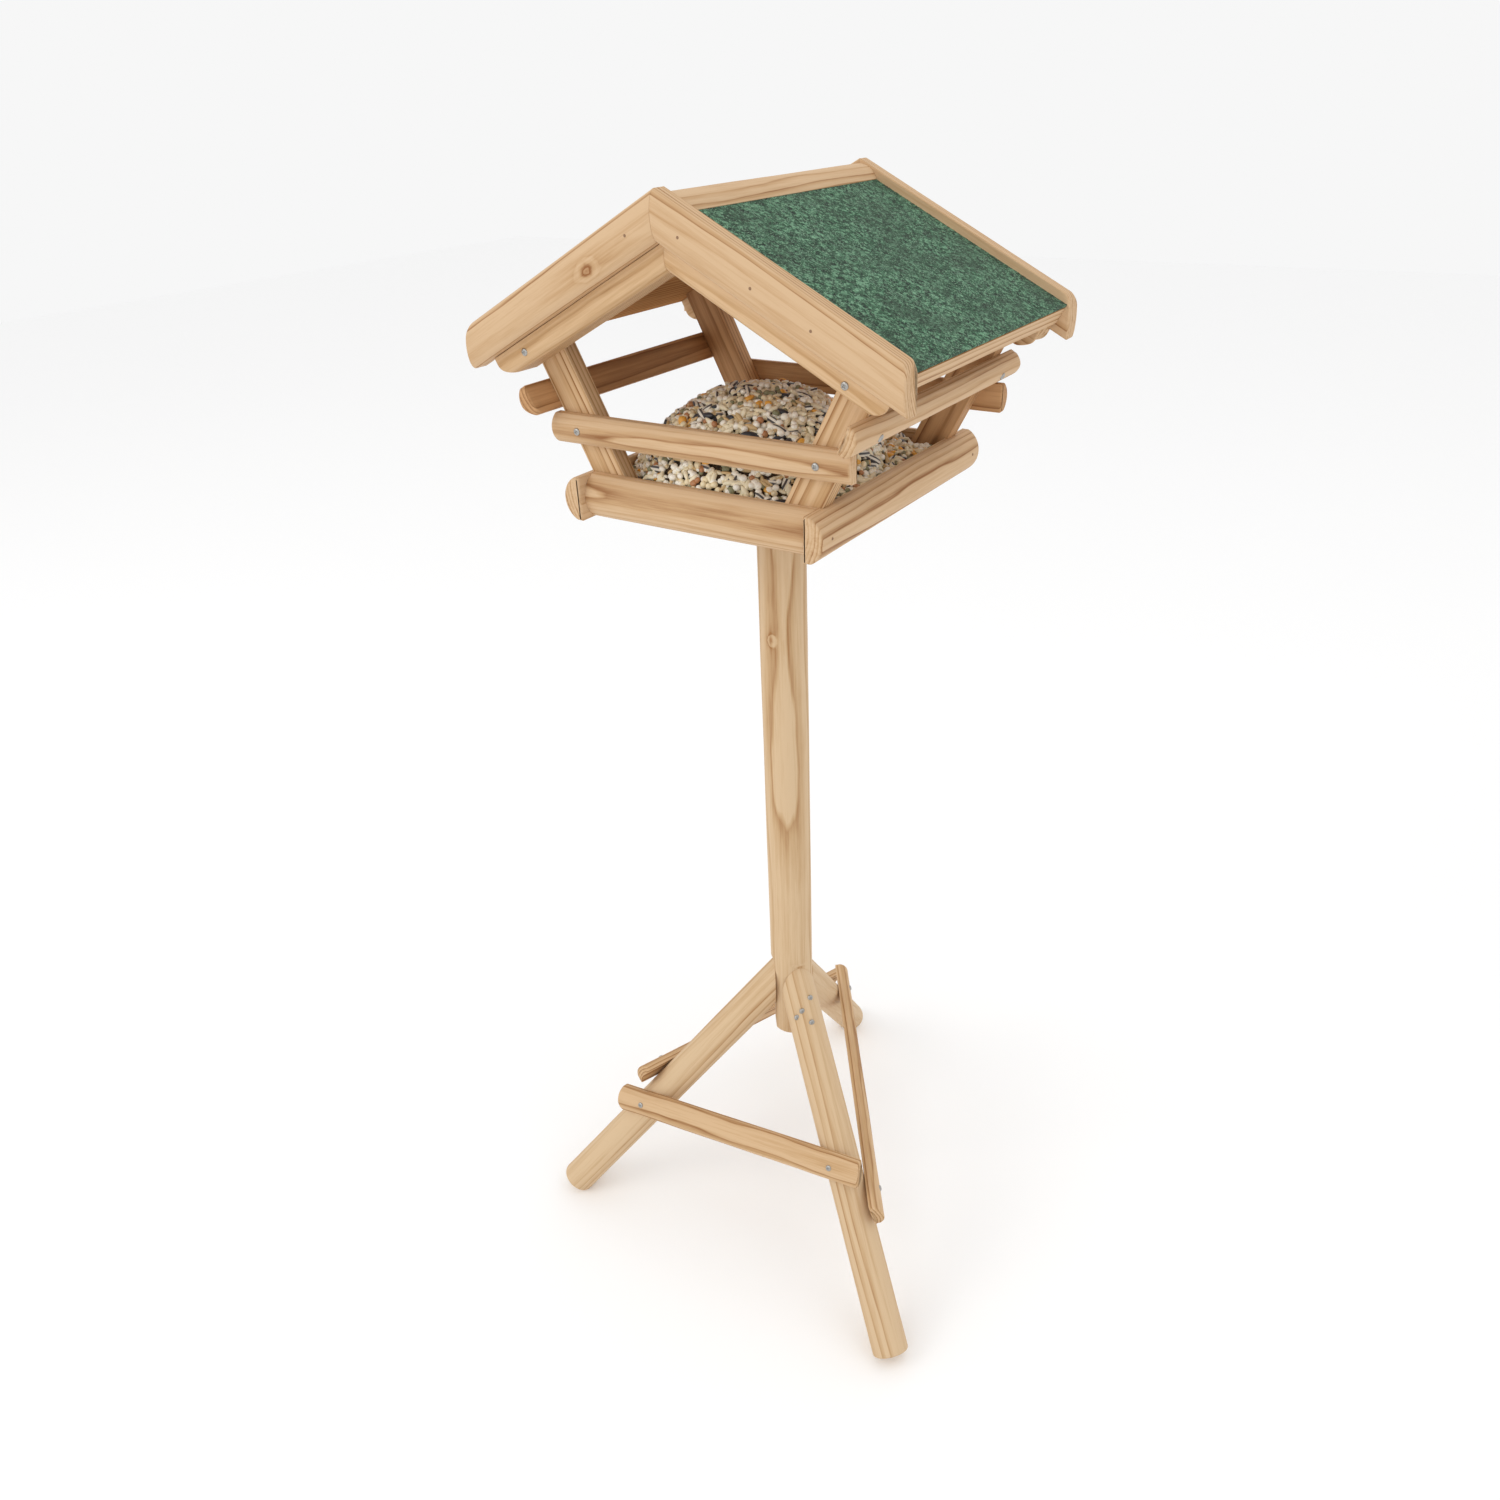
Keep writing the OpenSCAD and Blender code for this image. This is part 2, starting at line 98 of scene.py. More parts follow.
X, Y, Z = vec(1, 0, 0), vec(0, 1, 0), vec(0, 0, 1)
DOWN, INTO = vec(CP, 0, -SP), vec(-SP, 0, -CP)
UP = -INTO


def mirrored(left, back=False):
    """Carries a place or a way from the front right corner to another one."""
    signs = vec(-1 if left else 1, -1 if back else 1, 1)
    return lambda v: v * signs


# ---------------------------------------------------------------- outlines


def resample(points, step):
    """A closed polygon with every side cut into pieces of about step, and its corners eased."""
    out = []
    n = len(points)
    for i in range(n):
        a, b = vec(*points[i]), vec(*points[(i + 1) % n])
        k = max(1, round(float(np.linalg.norm(b - a)) / step))
        out += [a + (b - a) * j / k for j in range(k)]
    out = np.array(out)
    following = np.roll(out, -1, axis=0)
    eased = np.empty((2 * len(out), 2))
    eased[0::2] = 0.75 * out + 0.25 * following
    eased[1::2] = 0.25 * out + 0.75 * following
    return eased


def bend_round(a, tip, b):
    """The corner at tip, rounded off between the points a and b."""
    return [(1 - f) ** 2 * vec(*a) + 2 * f * (1 - f) * vec(*tip) + f * f * vec(*b)
            for f in np.linspace(0, 1, 7)]


def crowned(w0, w1, t, crown, arris=0.0):
    """Flat back at t = 0 and a rounded face at t, with its two arrises worn round."""
    half = (w1 - w0) / 2
    mid = (w0 + w1) / 2
    r = (half * half + crown * crown) / (2 * crown)
    a = math.asin(half / r)
    arc = [(mid + r * math.sin(f * a), t - r + r * math.cos(f * a)) for f in np.linspace(1, -1, 19)]
    if arris:
        arc = [q for q in arc if w0 + arris < q[0] < w1 - arris]
        low = t - crown
        arc = (bend_round((w1, low - arris), (w1, low), arc[0]) + arc[1:-1]
               + bend_round(arc[-1], (w0, low), (w0, low - arris)))
    return resample([(w0, 0), (w1, 0)] + arc, GIRTH_STEP)


def rebated():
    """A rafter: a rebate for the barge lath, and a rounded lower corner."""
    r = 8.0
    arc = [(RAFTER_LOW - r + r * math.sin(a), RAFTER_T - r + r * math.cos(a))
           for a in np.linspace(math.pi / 2, 0, 7)]
    rebate = [(BARGE_W, RAFTER_T), (BARGE_W, REBATE_T), (RAFTER_D, REBATE_T)]
    return resample([(RAFTER_D, 0), (RAFTER_LOW, 0)] + arc + rebate, GIRTH_STEP)


def plank(w0, w1, t0, t1, step=3.0):
    """A plain rectangle."""
    return resample([(w0, t0), (w1, t0), (w1, t1), (w0, t1)], step)


def ridge_outline():
    """A V-shaped foot that sits on the felt, under a round back."""
    rise = APEX - 4 - RIDGE_FOOT
    r = (RIDGE_HALF**2 + rise * rise) / (2 * rise)
    a = math.asin(RIDGE_HALF / r)
    arc = [(r * math.sin(f * a), RIDGE_FOOT + rise - r + r * math.cos(f * a))
           for f in np.linspace(-1, 1, 17)]
    return resample([(0, APEX - FELT_D / CP)] + arc, 2.4)


def circle(r, n):
    a = np.linspace(0, 2 * math.pi, n, endpoint=False)
    return np.c_[r * np.cos(a), r * np.sin(a)]


def signed_area(o):
    return np.sum(o[:, 0] * np.roll(o[:, 1], -1) - o[:, 1] * np.roll(o[:, 0], -1))


def normals(o):
    """The ways out of an outline that runs anticlockwise."""
    d = np.roll(o, -1, axis=0) - np.roll(o, 1, axis=0)
    n = np.c_[d[:, 1], -d[:, 0]]
    return n / np.linalg.norm(n, axis=1)[:, None]


def cut_corner(depth, start, reach, power):
    """How much of an end is missing: nothing at start, and depth at start + reach."""
    return lambda w: depth * np.clip((w - start) / reach, 0, 1) ** power


def tongue(half, depth):
    """An end that is rounded across its width."""
    return lambda w: depth * np.abs(w / half) ** 2.4


# ---------------------------------------------------------------- meshes


def grid(nu, nv):
    """The faces of a sheet of nu by nv points."""
    starts = [i * nv + j for i in range(nu - 1) for j in range(nv - 1)]
    return [(a, a + nv, a + nv + 1, a + 1) for a in starts]


def slab(nu, nv):
    """The faces of a closed slab: nu by nv points on top, and then as many below."""
    n = nu * nv
    edge = [i * nv for i in range(nu)] + [(nu - 1) * nv + j for j in range(1, nv)]
    edge += [i * nv + nv - 1 for i in range(nu - 2, -1, -1)] + list(range(nv - 2, 0, -1))
    sides = [(a, a + n, b + n, b) for a, b in zip(edge, edge[1:] + edge[:1])]
    return grid(nu, nv) + sides + [[e + n for e in edge][::-1]]


def tube(rows, n, first=0):
    """The faces between rows of n points each."""
    faces = []
    for i in range(rows - 1):
        a = first + i * n
        for j in range(n):
            k = (j + 1) % n
            faces.append((a + j, a + n + j, a + n + k, a + k))
    return faces


def revolved(profile, n):
    """The points of a turned shape, whose profile is a list of radius and height."""
    turns = [2 * math.pi * j / n for j in range(n)]
    return [(r * math.cos(a), r * math.sin(a), z) for r, z in profile for a in turns]


def make(name, verts, faces, material, smooth=40, attrs=None, nodes=()):
    """A piece that rides the part's one body. smooth is the angle at which an edge is sharp."""
    mesh = bpy.data.meshes.new(name)
    mesh.from_pydata((np.asarray(verts) * 0.001).tolist(), [], faces)
    for key, values in (attrs or {}).items():
        at = mesh.attributes.new(key, "FLOAT_VECTOR", "POINT")
        at.data.foreach_set("vector", (np.asarray(values) * 0.001).astype(np.float32).ravel())
    mesh.validate()
    mesh.shade_smooth()
    if smooth:
        mesh.set_sharp_from_angle(angle=math.radians(smooth))
    mesh.materials.append(material)
    obj = bpy.data.objects.new(name, mesh)
    bpy.context.scene.collection.objects.link(obj)
    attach(obj, "root")
    if nodes:
        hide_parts(*nodes)
    return obj


def waves(seed, kx, ks, n=7):
    """A smooth field between -1 and 1 over length x and girth s, made of a few sine waves."""
    g = np.random.default_rng(seed)
    a = g.uniform(0.4, 1.0, n)
    fx, fs = g.uniform(0.3, 1.0, n) * kx, g.uniform(-1.0, 1.0, n) * ks
    p = g.uniform(0, 6.28, n)

    def field(x, s):
        v = sum(a[i] * np.sin(fx[i] * x + fs[i] * s + p[i]) for i in range(n))
        return v / a.sum()

    return field


def stations(length, ease):
    """The rings of a loft: how far each is from an end, its inset, and its share of the rest."""
    quarter = np.linspace(0, math.pi / 2, 5)
    count = int(np.clip(length / RING_STEP, 6, 90))
    start = [("start", ease[0] * (1 - math.cos(k)), ease[0] * (1 - math.sin(k)), 0) for k in quarter]
    middle = [("middle", 0, 0, f) for f in np.linspace(0, 1, count)[1:-1]]
    end = [("end", ease[1] * (1 - math.cos(k)), ease[1] * (1 - math.sin(k)), 0) for k in quarter[::-1]]
    return start + middle + end


def loft(name, node, origin, along, across, outward, outline, cut0, cut1, material, ease=(1.5, 1.5),
         rough=0.35, grain=(0.0, -30.0), trim0=None, trim1=None, knot=None, log=False, wander=0.05,
         bulge=None):
    """A length of timber. The outline runs along its axis between two cutting planes, each a
    point and a normal. ease is how far the edge of each end is rounded. rough is how far its
    open faces wander inwards, all round on a log, and wander is how quickly. grain is where the
    tree's heart lies in the outline, and knot is a place and a size. trim0 and trim1 shorten an
    end, as a function of the width, and bulge moves the faces out, or in where it is negative."""
    number = next(piece_numbers)
    along, across, outward = (vec(*v) / np.linalg.norm(v) for v in (along, across, outward))
    flip = float(np.dot(np.cross(across, outward), along)) < 0
    if signed_area(outline) < 0:
        outline = outline[::-1]
    n = len(outline)
    ways_out = normals(outline)
    girth = np.r_[0, np.cumsum(np.linalg.norm(np.diff(outline, axis=0), axis=1))]
    free = np.ones(n) if log else np.clip((outline[:, 1] - outline[:, 1].min()) / 3.0, 0, 1)
    coarse = waves(number, wander, 0.12)
    fine = waves(number + 500, wander * 4, 0.4)

    def place(ring):
        return origin + ring[:, :1] * across + ring[:, 1:] * outward

    def meet(ring, cut):
        on, normal = vec(*cut[0]), vec(*cut[1])
        return ((on - place(ring)) @ normal) / float(along @ normal)

    length = float((meet(outline, cut1) - meet(outline, cut0)).mean())
    verts, grains, knots = [], [], []
    for zone, depth, inset, share in stations(length, ease):
        ring = outline - ways_out * inset
        x0, x1 = meet(ring, cut0), meet(ring, cut1)
        if trim0:
            x0 = x0 + trim0(ring[:, 0])
        if trim1:
            x1 = x1 - trim1(ring[:, 0])
        if zone == "start":
            x = x0 + depth
        elif zone == "end":
            x = x1 - depth
        else:
            a, b = x0 + ease[0], x1 - ease[1]
            x = a + (b - a) * share
        dent = rough * (0.5 + 0.5 * coarse(x, girth)) + rough * 0.3 * (0.5 + 0.5 * fine(x, girth))
        ring = ring - ways_out * (dent * free)[:, None]
        if bulge:
            ring = ring + ways_out * bulge(x, ring)[:, None]
        verts.append(place(ring) + x[:, None] * along)
        # Every piece is cut from a place of its own in the tree.
        grains.append(np.c_[x + number * 371.0, ring[:, 0] - grain[0], ring[:, 1] - grain[1]])
        if knot:
            knot_x, knot_w, knot_t, size = knot
            knots.append(np.c_[x - knot_x, ring[:, 0] - knot_w, (ring[:, 1] - knot_t) * 0.6] / size)
        else:
            knots.append(np.c_[x * 0, x * 0, x * 0 + FAR_AWAY])
    last = (len(verts) - 1) * n
    faces = []
    for a in range(0, last, n):
        faces += [(a + i, a + (i + 1) % n, a + n + (i + 1) % n, a + n + i) for i in range(n)]
    faces += [tuple(range(n))[::-1], tuple(range(last, last + n))]
    if flip:
        faces = [q[::-1] for q in faces]
    verts = np.vstack(verts)
    if log:
        verts[:, 2] = np.maximum(verts[:, 2], 0.0)
    attrs = {"grain": np.vstack(grains), "knot": np.vstack(knots)}
    return make(name, verts, faces, material, attrs=attrs, nodes=(node,))


# ---------------------------------------------------------------- materials


def rgb(r, g, b):
    """A colour given as eight-bit sRGB."""

    def lin(c):
        c /= 255
        return c / 12.92 if c <= 0.04045 else ((c + 0.055) / 1.055) ** 2.4

    return (lin(r), lin(g), lin(b), 1.0)


class Graph:
    """A material's node tree, written as formulas."""

    def __init__(self, name):
        self.mat = bpy.data.materials.new(name)
        self.mat.use_nodes = True
        self.tree = self.mat.node_tree
        self.shader = self.tree.nodes["Principled BSDF"]

    def put(self, socket, value):
        if isinstance(value, bpy.types.NodeSocket):
            self.tree.links.new(value, socket)
        else:
            socket.default_value = value

    def node(self, kind, out=0, props=None, **inputs):
        n = self.tree.nodes.new(kind)
        for k, v in (props or {}).items():
            setattr(n, k, v)
        for k, v in inputs.items():
            key = int(k[1:]) if k[0] == "i" and k[1:].isdigit() else k.replace("_", " ")
            self.put(n.inputs[key], v)
        return n.outputs[out]

    def math(self, op, a, b=0.0, c=0.0):
        return self.node("ShaderNodeMath", props={"operation": op}, i0=a, i1=b, i2=c)

    def total(self, first, *rest):
        for value in rest:
            first = self.math("ADD", first, value)
        return first

    def swing(self, value, amount):
        """A value between 0 and 1 as one that swings about zero."""
        return self.math("MULTIPLY", self.math("SUBTRACT", value, 0.5), amount)

    def bell(self, value, width):
        """1 where value is 0, and next to nothing at twice the width."""
        square = self.math("POWER", self.math("DIVIDE", value, width), 2.0)
        return self.math("EXPONENT", self.math("MULTIPLY", square, -1.0))

    def attribute(self, name):
        return self.node("ShaderNodeAttribute", "Vector", {"attribute_name": name})

    def scaled(self, v, s):
        return self.node("ShaderNodeVectorMath", props={"operation": "MULTIPLY"}, i0=v, i1=s)

    def length(self, v, s):
        v = self.scaled(v, s)
        return self.node("ShaderNodeVectorMath", "Value", {"operation": "LENGTH"}, i0=v)

    def noise(self, v, scale=1.0, detail=2.0, rough=0.5, distort=0.0):
        return self.node("ShaderNodeTexNoise", "Fac", Vector=v, Scale=scale, Detail=detail,
                         Roughness=rough, Distortion=distort)

    def ramp(self, value, stops):
        n = self.tree.nodes.new("ShaderNodeValToRGB")
        el = n.color_ramp.elements
        while len(el) < len(stops):
            el.new(0.5)
        for e, (p, c) in zip(el, stops):
            e.position = p
            e.color = c if isinstance(c, tuple) else (c, c, c, 1)
        self.put(n.inputs["Fac"], value)
        return n.outputs["Color"]

    def mix(self, f, a, b):
        n = self.tree.nodes.new("ShaderNodeMix")
        n.data_type = "RGBA"
        self.put(n.inputs["Factor"], f)
        self.put(n.inputs["A"], a)
        self.put(n.inputs["B"], b)
        return n.outputs["Result"]

    def finish(self, color, roughness, height=None, distance=0.0003, strength=0.5):
        self.put(self.shader.inputs["Base Color"], color)
        self.put(self.shader.inputs["Roughness"], roughness)
        if height is not None:
            b = self.node("ShaderNodeBump", Height=height, Distance=distance, Strength=strength)
            self.put(self.shader.inputs["Normal"], b)
        return self.mat


def pine(name, light, mid, dark, spacing=0.0036, contrast=0.75, warp=0.010, gloss=0.2):
    """Softwood: yearly rings about the tree's heart, fibres, streaks and, in places, a knot."""
    g = Graph(name)
    grain, knot = g.attribute("grain"), g.attribute("knot")
    swirl = g.swing(g.noise(g.scaled(knot, (130, 170, 170)), detail=1.0), 0.0045)
    from_knot = g.math("ADD", g.length(knot, (0.72, 1, 1)), swirl)
    near = g.bell(from_knot, 0.0075)
    trail = g.bell(g.length(knot, (0.15, 1, 1)), 0.0042)
    radius = g.total(g.length(grain, (0, 1, 1)),
                     g.swing(g.noise(g.scaled(grain, (2.2, 14, 14)), detail=1.0), warp),
                     g.swing(g.noise(g.scaled(grain, (9, 70, 70)), detail=2.0), 0.0022),
                     g.math("MULTIPLY", near, 0.0045))
    ring = g.math("DIVIDE", radius, spacing)
    late = g.ramp(g.math("FRACT", ring), [(0.0, 0.15), (0.12, 0.0), (0.45, 0.12), (0.80, 0.6),
                                          (0.93, 1.0), (1.0, 0.2)])
    year = g.node("ShaderNodeTexWhiteNoise", "Value", {"noise_dimensions": "1D"},
                  W=g.math("FLOOR", ring))
    late = g.math("MULTIPLY", late, g.math("MULTIPLY_ADD", year, 0.7, 0.3))
    fibre = g.noise(g.scaled(grain, (22, 620, 620)), detail=3.0, rough=0.65)
    streak = g.noise(g.scaled(grain, (5, 230, 230)), detail=2.0)
    patch = g.noise(g.scaled(grain, (4, 26, 26)), detail=2.0)
    tone = g.total(g.math("MULTIPLY", late, contrast), g.swing(fibre, 0.75), g.swing(streak, 0.7),
                   g.swing(patch, 0.5), g.math("MULTIPLY", near, 0.25), g.math("MULTIPLY", trail, 0.30))
    color = g.ramp(tone, [(0.0, light), (0.42, mid), (1.0, dark)])
    core = g.ramp(g.math("DIVIDE", from_knot, 0.010), [(0.0, 0.5), (0.12, 0.38), (0.34, 0.24), (0.55, 0.0)])
    knot_rings = g.math("MULTIPLY_ADD", g.math("SINE", g.math("MULTIPLY", from_knot, 4200.0)), 0.3, 0.35)
    color = g.mix(core, color, g.mix(knot_rings, rgb(178, 124, 80), rgb(120, 74, 44)))
    height = g.math("ADD", g.math("MULTIPLY", fibre, 0.8), g.math("MULTIPLY", late, -0.35))
    g.put(g.shader.inputs["Specular IOR Level"], gloss)
    return g.finish(color, 0.62, height, 0.00035, 0.45)


PINE = pine("pine", rgb(208, 176, 139), rgb(191, 154, 113), rgb(142, 95, 56), contrast=1.0)
STRIPED = pine("pine_striped", rgb(210, 177, 138), rgb(190, 152, 108), rgb(138, 90, 50),
               spacing=0.0040, contrast=1.2, warp=0.006)
LOG = pine("pine_log", rgb(211, 183, 147), rgb(196, 163, 123), rgb(160, 115, 72),
           spacing=0.0060, contrast=0.8, warp=0.014)
# Pine darkened as painted shade, and with no gloss, for the roof panels, the tray floor, its battens and
# the pole plate.
SHADE_PAINTED_PINE = pine("pine_shade_painted", rgb(172, 126, 82), rgb(146, 101, 62), rgb(104, 66, 38),
              spacing=0.0045, contrast=0.9, warp=0.012, gloss=0.0)
# Pine darkened as painted shade, for the back posts, the back rail and the left side rail, which lie under
# the roof.
INNER_SHADE_PAINTED_PINE = pine("pine_inner_shade_painted", rgb(196, 152, 108), rgb(170, 126, 84), rgb(124, 82, 48),
             spacing=0.0040, contrast=1.1, warp=0.008)


def felt_material():
    """Mineral chips in several greens, with pale and dark grit and short pale threads."""
    g = Graph("felt_chips")
    place = g.attribute("grain")
    clumps = g.noise(place, 210.0, 4.0, 0.72, 0.4)
    chips = g.node("ShaderNodeTexVoronoi", "Color", Vector=place, Scale=300.0)
    tone = g.math("ADD", g.math("MULTIPLY", clumps, 0.7), g.math("MULTIPLY", chips, 0.3))
    color = g.ramp(tone, [(0.37, rgb(16, 36, 24)), (0.45, rgb(34, 70, 48)), (0.54, rgb(52, 94, 66)),
                          (0.63, rgb(104, 150, 118))])
    threads = []
    for scale, stretch in ((150.0, (1.0, 1.5, 1.0)), (130.0, (1.6, 1.0, 1.0))):
        n = g.noise(g.scaled(place, stretch), scale, 1.0, 0.5, 0.8)
        off_middle = g.math("ABSOLUTE", g.math("SUBTRACT", n, 0.5))
        line = g.ramp(off_middle, [(0.0, 1.0), (0.016, 0.7), (0.034, 0.0)])
        broken = g.ramp(g.noise(place, scale * 0.5, 1.0), [(0.47, 0.0), (0.55, 1.0)])
        threads.append(g.math("MULTIPLY", line, broken))
    thread = g.math("MAXIMUM", threads[0], threads[1])
    grit = g.noise(place, 620.0, 2.0, 0.6)
    worn = g.noise(place, 17.0, 3.0, 0.6)
    color = g.mix(g.math("MULTIPLY", thread, 0.55), color, rgb(136, 178, 148))
    color = g.mix(g.ramp(grit, [(0.58, 0.0), (0.66, 0.7)]), color, rgb(146, 182, 150))
    color = g.mix(g.ramp(grit, [(0.37, 0.8), (0.44, 0.0)]), color, rgb(18, 34, 26))
    color = g.mix(g.ramp(worn, [(0.36, 0.45), (0.56, 0.0)]), color, rgb(46, 62, 48))
    return g.finish(color, 0.9, g.math("ADD", tone, g.math("MULTIPLY", thread, 0.3)), 0.0010, 0.8)


def plain(name, color, roughness, metallic=0.0, speck=0.12):
    """A plain colour with a little unevenness in the gloss and the surface."""
    g = Graph(name)
    uneven = g.noise(g.node("ShaderNodeTexCoord", "Object"), 900.0, 3.0)
    g.put(g.shader.inputs["Metallic"], metallic)
    gloss = g.math("MULTIPLY_ADD", uneven, speck, roughness - speck / 2)
    return g.finish(color, gloss, uneven, 0.0001, 0.3)


FELT = felt_material()
ZINC = plain("zinc", rgb(172, 170, 166), 0.38, 1.0)
NAIL = plain("nail_steel", rgb(142, 110, 82), 0.6, 0.2)

# ---------------------------------------------------------------- roof


def facing(obj, way, material):
    """Give the faces that look along way, such as a sawn edge, a material of their own."""
    obj.data.materials.append(material)
    for face in obj.data.polygons:
        if face.normal.dot(Vector(way)) > 0.9:
            face.material_index = 1


def gable_corner(end, hand):
    """A barge lath, the rafter behind it and the post below them."""
    back = end == "back"
    at = mirrored(hand == "left", back)
    name = f"{end}_{hand}"
    loft(f"w_barge_{name}", f"barge_{name}", at(vec(0, -BARGE_Y, APEX)), at(DOWN), at(INTO), at(-Y),
         crowned(0, BARGE_W, BARGE_T, BARGE_CROWN, arris=4.0), (vec(0, 0, 0), at(X)),
         (at(vec(ROOF_X, 0, 0)), at(X)), PINE, ease=(0.5, 1.8), rough=0.2, grain=(8.0 + 5 * back, -46.0),
         trim1=cut_corner(5.0, 9.0, -9.0, 2), knot=(91, 23, 21, 0.9) if name == "front_left" else None)
    loft(f"w_rafter_{name}", f"rafter_{name}", at(vec(0, -FACE_Y, APEX)), at(DOWN), at(INTO), at(-Y),
         rebated(), (vec(0, 0, 0), at(X)), (at(vec(0, 0, APEX) + DOWN * RAFTER_L), at(DOWN)), STRIPED,
         ease=(0.5, 1.6), rough=0.4, grain=(34.0, -18.0),
         trim1=cut_corner(14.0, RAFTER_LOW - 15, 15.0, 2.2))
    # The back posts are pine darkened as painted shade.
    loft(f"w_post_{name}", f"post_{name}", at(vec(POST_X, -FACE_Y, FLOOR_TOP)), at(UP), at(DOWN), at(Y),
         plank(-POST_W / 2, POST_W / 2, 0, POST_T), (vec(0, 0, FLOOR_TOP), Z),
         (at(vec(POST_X, 0, FLOOR_TOP) + UP * POST_L), at(UP)), INNER_SHADE_PAINTED_PINE if back else STRIPED,
         ease=(0.2, 0.2), rough=0.25, grain=(6.0, -22.0))


def felt_sheet(hand):
    """A thin sheet whose chips stand up by different amounts."""
    left = hand == "left"
    nu, nv = 150, 190
    u = np.linspace(RIDGE_HALF / CP - 4, EAVE_L, nu)
    v = np.linspace(-BARGE_Y + 0.05, BARGE_Y - 0.05, nv)
    uu, vv = np.meshgrid(u, v, indexing="ij")
    chips = np.random.default_rng(31 + left).uniform(0, 0.28, uu.shape)
    chips[-2:, :] *= 0.3
    top = FELT_D + chips
    low = np.full_like(top, FELT_D + FELT_T)
    verts = []
    for depth in (top, low):
        p = vec(0, 0, APEX) + uu[..., None] * DOWN + vv[..., None] * Y + depth[..., None] * INTO
        verts.append(p.reshape(-1, 3))
    verts = mirrored(left)(np.vstack(verts))
    depths = np.r_[top.ravel(), low.ravel()]
    grain = np.c_[np.tile(uu.ravel(), 2), np.tile(vv.ravel(), 2), depths + 90 * left]
    faces = slab(nu, nv)
    if left:
        faces = [q[::-1] for q in faces]
    make(f"w_felt_{hand}", verts, faces, FELT, smooth=60, attrs={"grain": grain},
         nodes=(f"felt_{hand}",))


def roof_panel(hand):
    """The boards under the felt. Their eave edge is plain pine, paler than the underside, which is darkened
    as painted shade.
    """
    at = mirrored(hand == "left")
    panel = loft(f"w_panel_{hand}", f"roof_panel_{hand}", at(vec(0, -BARGE_Y, APEX)), Y, at(DOWN), at(INTO),
                 plank(PANEL_D * SP / CP, EAVE_L, PANEL_D, PANEL_D + PANEL_T, 6.0),
                 (vec(0, -BARGE_Y, 0), Y), (vec(0, BARGE_Y, 0), Y), SHADE_PAINTED_PINE, ease=(0.3, 0.3), rough=0.2,
                 grain=(120.0, -60.0))
    facing(panel, at(DOWN), PINE)


for end, hand in CORNERS:
    gable_corner(end, hand)
for hand in ("left", "right"):
    roof_panel(hand)
loft("w_ridge", "ridge_batten", vec(0, 0, 0), Y, X, Z, ridge_outline(), (vec(0, -BARGE_Y, 0), Y),
     (vec(0, BARGE_Y, 0), Y), PINE, ease=(0.4, 0.4), rough=0.4, grain=(3.0, RIDGE_FOOT - 30))
for hand in ("left", "right"):
    felt_sheet(hand)

# ---------------------------------------------------------------- rails and tray


def end_pieces(end, reach_left, reach_right, material):
    """The rail, the border and the floor batten across the front or the back."""
    sy = -1 if end == "front" else 1
    loft(f"w_rail_{end}", f"rail_{end}", vec(0, sy * FACE_Y, RAIL_Z + RAIL_W / 2), X, -Z, sy * Y,
         crowned(0, RAIL_W, LATH_T, LATH_CROWN), (vec(-reach_left, 0, 0), X), (vec(reach_right, 0, 0), X),
         material, ease=(2.2, 2.2), rough=0.45, grain=(10.0, -34.0))
    span = (vec(-BORDER_X, 0, 0), X), (vec(BORDER_X, 0, 0), X)
    loft(f"w_border_{end}", f"border_{end}", vec(0, sy * FACE_Y, BORDER_TOP), X, -Z, sy * Y,
         crowned(0, BORDER_W, BORDER_T, BORDER_CROWN), *span, PINE, ease=(0.3, 0.3), rough=0.45,
         grain=(30.0, -30.0))
    # The floor batten is pine darkened as painted shade.
    loft(f"w_batten_{end}", f"floor_batten_{end}", vec(0, sy * FACE_Y, TRAY_Z), X, -sy * Y, Z,
         plank(0, BATTEN_W, 0, BATTEN_T), *span, SHADE_PAINTED_PINE, ease=(0.3, 0.3), rough=0.2, grain=(20.0, -26.0))


def side_pieces(hand, material):
    """The rail under the eave, square to the posts, and the border below it."""
    at = mirrored(hand == "left")
    base = vec(POST_X, 0, FLOOR_TOP) + DOWN * POST_W / 2 + UP * SIDE_RAIL_UP
    half = RAIL_W / 2
    loft(f"w_rail_{hand}", f"rail_{hand}", at(base), Y, at(UP), at(DOWN),
         crowned(-half, half, LATH_T, LATH_CROWN), (vec(0, -SIDE_RAIL_HALF, 0), Y),
         (vec(0, SIDE_RAIL_HALF, 0), Y), material, ease=(2.6, 2.6), rough=0.45, grain=(2.0, -30.0),
         trim0=cut_corner(5.0, 0.0, -half, 2), trim1=cut_corner(9.0, 0.0, half, 1.5))
    loft(f"w_border_{hand}", f"border_{hand}", at(vec(BORDER_X, 0, BORDER_TOP)), Y, -Z, at(X),
         crowned(0, BORDER_W, BORDER_T, BORDER_CROWN), (vec(0, -BORDER_Y, 0), Y), (vec(0, BORDER_Y, 0), Y),
         PINE, ease=(2.6, 2.6), rough=0.5, grain=(12.0, -38.0))


# The back rail and the left side rail are pine darkened as painted shade.
end_pieces("front", 161.0, 161.0, PINE)
end_pieces("back", 140.0, 174.0, INNER_SHADE_PAINTED_PINE)
side_pieces("left", INNER_SHADE_PAINTED_PINE)
side_pieces("right", PINE)
